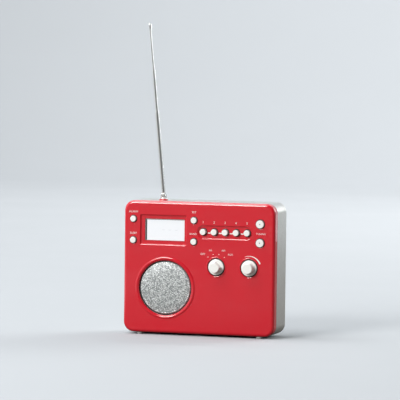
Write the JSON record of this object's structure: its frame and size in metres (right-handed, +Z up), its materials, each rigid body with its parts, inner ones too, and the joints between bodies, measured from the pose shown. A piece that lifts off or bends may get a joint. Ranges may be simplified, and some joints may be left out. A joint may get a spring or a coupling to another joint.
{
  "type": "portable clock radio",
  "caption": "Upright portable clock radio: gloss red front and silver back, round speaker grille, display window, push keys, two knobs and a folding telescopic antenna.",
  "frame": {"origin": "on the surface the radio stands on, under the middle of its overall box", "axes": "+X to the right of a person facing the front, +Y from the front face to the back, +Z up"},
  "size_m": [0.185, 0.0636, 0.3665],
  "materials": {
    "red_gloss_plastic": "high-gloss moulded red, soft highlight along the rounded edges",
    "silver_paint": "satin metallic silver lacquer with a fine flake",
    "grille_mesh": "fine punched silver mesh, satin",
    "dust_cloth": "thin dark dust cloth",
    "plated_steel": "zinc-plated steel",
    "black_rubber": "matt black rubber",
    "grey_rubber": "light grey rubber",
    "paper_cone": "pressed black paper",
    "ferrite": "dark sintered ferrite",
    "display_window": "clear window over a pale display",
    "black_plastic": "matt black moulded plastic",
    "circuit_board": "green circuit board",
    "white_gloss_plastic": "white glossy moulded plastic",
    "copper_wire": "enamelled copper winding",
    "brass": "turned brass",
    "chrome": "polished chrome plate",
    "cell_wrap": "plain printed cell sleeve"
  },
  "bodies": {
    "cabinet": {"front_shell": "red_gloss_plastic", "rear_shell": "silver_paint", "speaker_grille": "grille_mesh", "grille_cloth": "dust_cloth", "speaker_frame": "plated_steel", "speaker_magnet": "ferrite", "lcd_window": "display_window", "lcd_module": "black_plastic", "control_board": "circuit_board", "main_board": "circuit_board", "keypad_mat_left": "black_rubber", "keypad_mat_right": "black_rubber", "selector_switch": "plated_steel", "volume_control": "plated_steel", "tuner_can": "plated_steel", "ferrite_rod": "ferrite", "ferrite_coil": "copper_wire", "antenna_socket": "red_gloss_plastic", "antenna_nut": "brass", "battery_tray": "black_plastic", "dc_jack": "black_plastic", "headphone_jack": "black_plastic", "aux_jack": "black_plastic", "battery_cell_1": "cell_wrap", "foot_1": "grey_rubber", "cabinet_screw_1": "plated_steel", "battery_cell_2": "cell_wrap", "foot_2": "grey_rubber", "cabinet_screw_2": "plated_steel", "battery_cell_3": "cell_wrap", "foot_3": "grey_rubber", "cabinet_screw_3": "plated_steel", "battery_cell_4": "cell_wrap", "foot_4": "grey_rubber", "cabinet_screw_4": "plated_steel"},
    "alarm_button": {"alarm_button": "white_gloss_plastic"},
    "sleep_button": {"sleep_button": "white_gloss_plastic"},
    "set_button": {"set_button": "white_gloss_plastic"},
    "band_button": {"band_button": "white_gloss_plastic"},
    "preset_button_1": {"preset_button_1": "white_gloss_plastic"},
    "preset_button_2": {"preset_button_2": "white_gloss_plastic"},
    "preset_button_3": {"preset_button_3": "white_gloss_plastic"},
    "preset_button_4": {"preset_button_4": "white_gloss_plastic"},
    "preset_button_5": {"preset_button_5": "white_gloss_plastic"},
    "tune_up_button": {"tune_up_button": "white_gloss_plastic"},
    "tune_down_button": {"tune_down_button": "white_gloss_plastic"},
    "selector_knob": {"selector_knob": "white_gloss_plastic", "selector_shaft": "plated_steel"},
    "volume_knob": {"volume_knob": "white_gloss_plastic", "volume_shaft": "plated_steel"},
    "speaker_cone": {"speaker_cone": "paper_cone", "speaker_surround": "black_rubber"},
    "antenna_turret": {"antenna_turret": "chrome", "antenna_clip": "plated_steel", "antenna_pin": "plated_steel"},
    "antenna_mast_lower": {"antenna_mast_lower": "chrome"},
    "antenna_mast_middle": {"antenna_mast_middle": "chrome"},
    "antenna_mast_upper": {"antenna_mast_upper": "chrome", "antenna_tip": "chrome"},
    "battery_door": {"battery_door": "silver_paint"}
  },
  "joints": [
    {"name": "alarm_press", "type": "slide", "parent": "cabinet", "child": "alarm_button", "axis": [0, 1, 0], "range_m": [0, 0.0012], "stiffness_N_per_m": 600},
    {"name": "sleep_press", "type": "slide", "parent": "cabinet", "child": "sleep_button", "axis": [0, 1, 0], "range_m": [0, 0.0012], "stiffness_N_per_m": 600},
    {"name": "set_press", "type": "slide", "parent": "cabinet", "child": "set_button", "axis": [0, 1, 0], "range_m": [0, 0.0012], "stiffness_N_per_m": 600},
    {"name": "band_press", "type": "slide", "parent": "cabinet", "child": "band_button", "axis": [0, 1, 0], "range_m": [0, 0.0012], "stiffness_N_per_m": 600},
    {"name": "preset_1_press", "type": "slide", "parent": "cabinet", "child": "preset_button_1", "axis": [0, 1, 0], "range_m": [0, 0.0012], "stiffness_N_per_m": 600},
    {"name": "preset_2_press", "type": "slide", "parent": "cabinet", "child": "preset_button_2", "axis": [0, 1, 0], "range_m": [0, 0.0012], "stiffness_N_per_m": 600},
    {"name": "preset_3_press", "type": "slide", "parent": "cabinet", "child": "preset_button_3", "axis": [0, 1, 0], "range_m": [0, 0.0012], "stiffness_N_per_m": 600},
    {"name": "preset_4_press", "type": "slide", "parent": "cabinet", "child": "preset_button_4", "axis": [0, 1, 0], "range_m": [0, 0.0012], "stiffness_N_per_m": 600},
    {"name": "preset_5_press", "type": "slide", "parent": "cabinet", "child": "preset_button_5", "axis": [0, 1, 0], "range_m": [0, 0.0012], "stiffness_N_per_m": 600},
    {"name": "tune_up_press", "type": "slide", "parent": "cabinet", "child": "tune_up_button", "axis": [0, 1, 0], "range_m": [0, 0.0012], "stiffness_N_per_m": 600},
    {"name": "tune_down_press", "type": "slide", "parent": "cabinet", "child": "tune_down_button", "axis": [0, 1, 0], "range_m": [0, 0.0012], "stiffness_N_per_m": 600},
    {"name": "selector_turn", "type": "hinge", "parent": "cabinet", "child": "selector_knob", "pos_m": [0.0215, -0.02225, 0.0823], "axis": [0, 1, 0], "range_deg": [-90, 0]},
    {"name": "volume_turn", "type": "hinge", "parent": "cabinet", "child": "volume_knob", "pos_m": [0.0616, -0.02225, 0.0823], "axis": [0, 1, 0], "range_deg": [-150, 150]},
    {"name": "cone_stroke", "type": "slide", "parent": "cabinet", "child": "speaker_cone", "axis": [0, 1, 0], "range_m": [-0.001, 0.001], "stiffness_N_per_m": 1200},
    {"name": "antenna_swivel", "type": "hinge", "parent": "cabinet", "child": "antenna_turret", "pos_m": [-0.0493, -0.00525, 0.158], "axis": [0, 0, 1], "range_deg": [0, 340]},
    {"name": "antenna_fold", "type": "hinge", "parent": "antenna_turret", "child": "antenna_mast_lower", "pos_m": [-0.0493, -0.00525, 0.1634], "axis": [0, 1, 0], "range_deg": [-84, 95]},
    {"name": "mast_middle_slide", "type": "slide", "parent": "antenna_mast_lower", "child": "antenna_mast_middle", "axis": [-0.0976, 0, 0.9952], "range_m": [-0.047, 0.04]},
    {"name": "mast_upper_slide", "type": "slide", "parent": "antenna_mast_middle", "child": "antenna_mast_upper", "axis": [-0.0976, 0, 0.9952], "range_m": [-0.0475, 0.039]},
    {"name": "battery_door_open", "type": "hinge", "parent": "cabinet", "child": "battery_door", "pos_m": [0, 0.03175, 0.011], "axis": [-1, 0, 0], "range_deg": [0, 95]}
  ]
}
